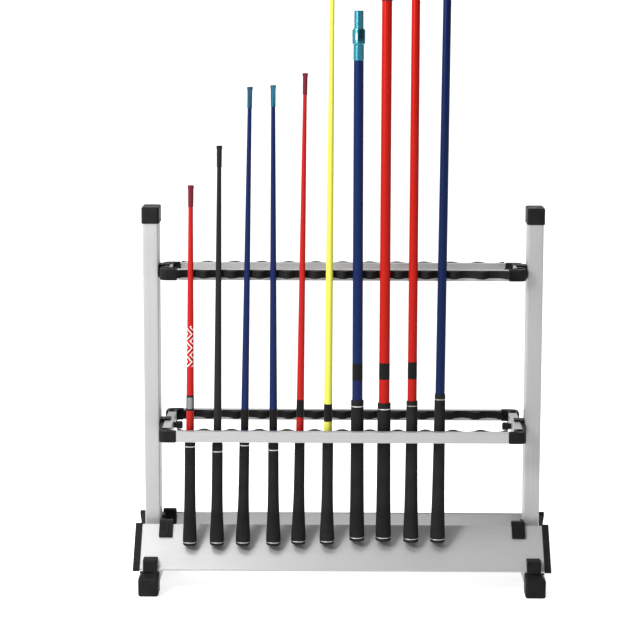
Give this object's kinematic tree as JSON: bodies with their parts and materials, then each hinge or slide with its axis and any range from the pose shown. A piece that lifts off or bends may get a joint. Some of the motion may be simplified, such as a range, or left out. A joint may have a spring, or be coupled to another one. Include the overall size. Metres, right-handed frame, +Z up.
{
  "type": "rod rack",
  "caption": "Two-sided aluminium floor rack with notched upper and lower rings and sloping trays, holding telescopic fishing rods that lift out",
  "frame": {"origin": "on the floor under the middle of the rack, midway between the two posts and between the front and back boots", "axes": "+X to the right along the rack seen from the front, +Y from front to back, +Z up"},
  "size_m": [0.757, 0.279, 1.1702],
  "materials": {
    "aluminium": "satin clear anodised extrusion",
    "steel": "plain zinc-plated",
    "black_plastic": "fine moulded texture",
    "black_rubber": "matt soft rubber",
    "grip_rubber": "moulded grip texture",
    "ring_silver": "bright trim ring",
    "plug_teal": "teal anodised, turned",
    "plug_maroon": "gloss",
    "rod_red": "clear lacquer over red",
    "rod_charcoal": "satin lacquer over carbon",
    "rod_navy": "clear lacquer over navy blue",
    "rod_yellow": "fluorescent lacquer",
    "rod_blue": "clear lacquer over royal blue",
    "rod_midnight": "clear lacquer over midnight blue"
  },
  "bodies": {
    "rack": {"boot_back_left": "black_plastic", "boot_back_right": "black_plastic", "boot_front_left": "black_plastic", "boot_front_right": "black_plastic", "foot_bar_left": "aluminium", "foot_bar_right": "aluminium", "lower_bracket_left": "black_plastic", "lower_bracket_right": "black_plastic", "lower_corner_back_left": "black_plastic", "lower_corner_back_right": "black_plastic", "lower_corner_front_left": "black_plastic", "lower_corner_front_right": "black_plastic", "lower_end_bar_left": "aluminium", "lower_end_bar_right": "aluminium", "lower_notched_strip_back": "black_rubber", "lower_notched_strip_front": "black_rubber", "lower_rail_back": "aluminium", "lower_rail_front": "aluminium", "post_anchor_left": "steel", "post_anchor_right": "steel", "post_cap_left": "black_plastic", "post_cap_right": "black_plastic", "post_left": "aluminium", "post_right": "aluminium", "tray_back": "aluminium", "tray_clip_back_left": "black_plastic", "tray_clip_front_left": "black_plastic", "tray_clip_front_right": "black_plastic", "tray_end_cap_back_left": "black_plastic", "tray_end_cap_back_right": "black_plastic", "tray_end_cap_front_left": "black_plastic", "tray_end_cap_front_right": "black_plastic", "tray_front": "aluminium", "upper_bracket_left": "black_plastic", "upper_bracket_right": "black_plastic", "upper_corner_back_left": "black_plastic", "upper_corner_back_right": "black_plastic", "upper_corner_front_left": "black_plastic", "upper_corner_front_right": "black_plastic", "upper_end_bar_left": "aluminium", "upper_end_bar_right": "aluminium", "upper_notched_strip_back": "black_rubber", "upper_notched_strip_front": "black_rubber", "upper_rail_back": "aluminium", "upper_rail_front": "aluminium"},
    "lower_thumb_knob_left": {"lower_thumb_knob_left": "black_plastic"},
    "lower_thumb_knob_right": {"lower_thumb_knob_right": "black_plastic"},
    "upper_thumb_knob_left": {"upper_thumb_knob_left": "black_plastic"},
    "upper_thumb_knob_right": {"upper_thumb_knob_right": "black_plastic"},
    "rod_01": {"rod_01_red": "rod_red"},
    "rod_02": {"rod_02_charcoal": "rod_charcoal"},
    "rod_03": {"rod_03_navy": "rod_navy"},
    "rod_04": {"rod_04_navy": "rod_navy"},
    "rod_05": {"rod_05_red": "rod_red"},
    "rod_06": {"rod_06_yellow": "rod_yellow"},
    "rod_07": {"rod_07_blue": "rod_blue"},
    "rod_08": {"rod_08_red": "rod_red"},
    "rod_09": {"rod_09_red": "rod_red"},
    "rod_10": {"rod_10_midnight": "rod_midnight"}
  },
  "joints": [
    {"name": "lower_thumb_knob_left_turn", "type": "hinge", "parent": "rack", "child": "lower_thumb_knob_left", "pos_m": [-0.2945, 0, 0.2875], "axis": [1, 0, 0], "continuous": true},
    {"name": "lower_thumb_knob_right_turn", "type": "hinge", "parent": "rack", "child": "lower_thumb_knob_right", "pos_m": [0.2945, 0, 0.2875], "axis": [1, 0, 0], "continuous": true},
    {"name": "upper_thumb_knob_left_turn", "type": "hinge", "parent": "rack", "child": "upper_thumb_knob_left", "pos_m": [-0.2945, 0, 0.5745], "axis": [1, 0, 0], "continuous": true},
    {"name": "upper_thumb_knob_right_turn", "type": "hinge", "parent": "rack", "child": "upper_thumb_knob_right", "pos_m": [0.2945, 0, 0.5745], "axis": [1, 0, 0], "continuous": true},
    {"name": "rod_01_lift", "type": "slide", "parent": "rack", "child": "rod_01", "axis": [0.0056, 0.0546, 0.9985], "range_m": [0, 0.23]},
    {"name": "rod_02_lift", "type": "slide", "parent": "rack", "child": "rod_02", "axis": [0.008, 0.0546, 0.9985], "range_m": [0, 0.23]},
    {"name": "rod_03_lift", "type": "slide", "parent": "rack", "child": "rod_03", "axis": [0.016, 0.0539, 0.9984], "range_m": [0, 0.23]},
    {"name": "rod_04_lift", "type": "slide", "parent": "rack", "child": "rod_04", "axis": [-0.001, 0.0539, 0.9985], "range_m": [0, 0.23]},
    {"name": "rod_05_lift", "type": "slide", "parent": "rack", "child": "rod_05", "axis": [0.0132, 0.0435, 0.999], "range_m": [0, 0.23]},
    {"name": "rod_06_lift", "type": "slide", "parent": "rack", "child": "rod_06", "axis": [0.007, 0.0425, 0.9991], "range_m": [0, 0.23]},
    {"name": "rod_07_lift", "type": "slide", "parent": "rack", "child": "rod_07", "axis": [-0.0004, 0.0199, 0.9998], "range_m": [0, 0.23]},
    {"name": "rod_08_lift", "type": "slide", "parent": "rack", "child": "rod_08", "axis": [0.0014, 0.0199, 0.9998], "range_m": [0, 0.23]},
    {"name": "rod_09_lift", "type": "slide", "parent": "rack", "child": "rod_09", "axis": [0.0024, 0.0286, 0.9996], "range_m": [0, 0.23]},
    {"name": "rod_10_lift", "type": "slide", "parent": "rack", "child": "rod_10", "axis": [0.0094, 0.0286, 0.9995], "range_m": [0, 0.23]}
  ]
}
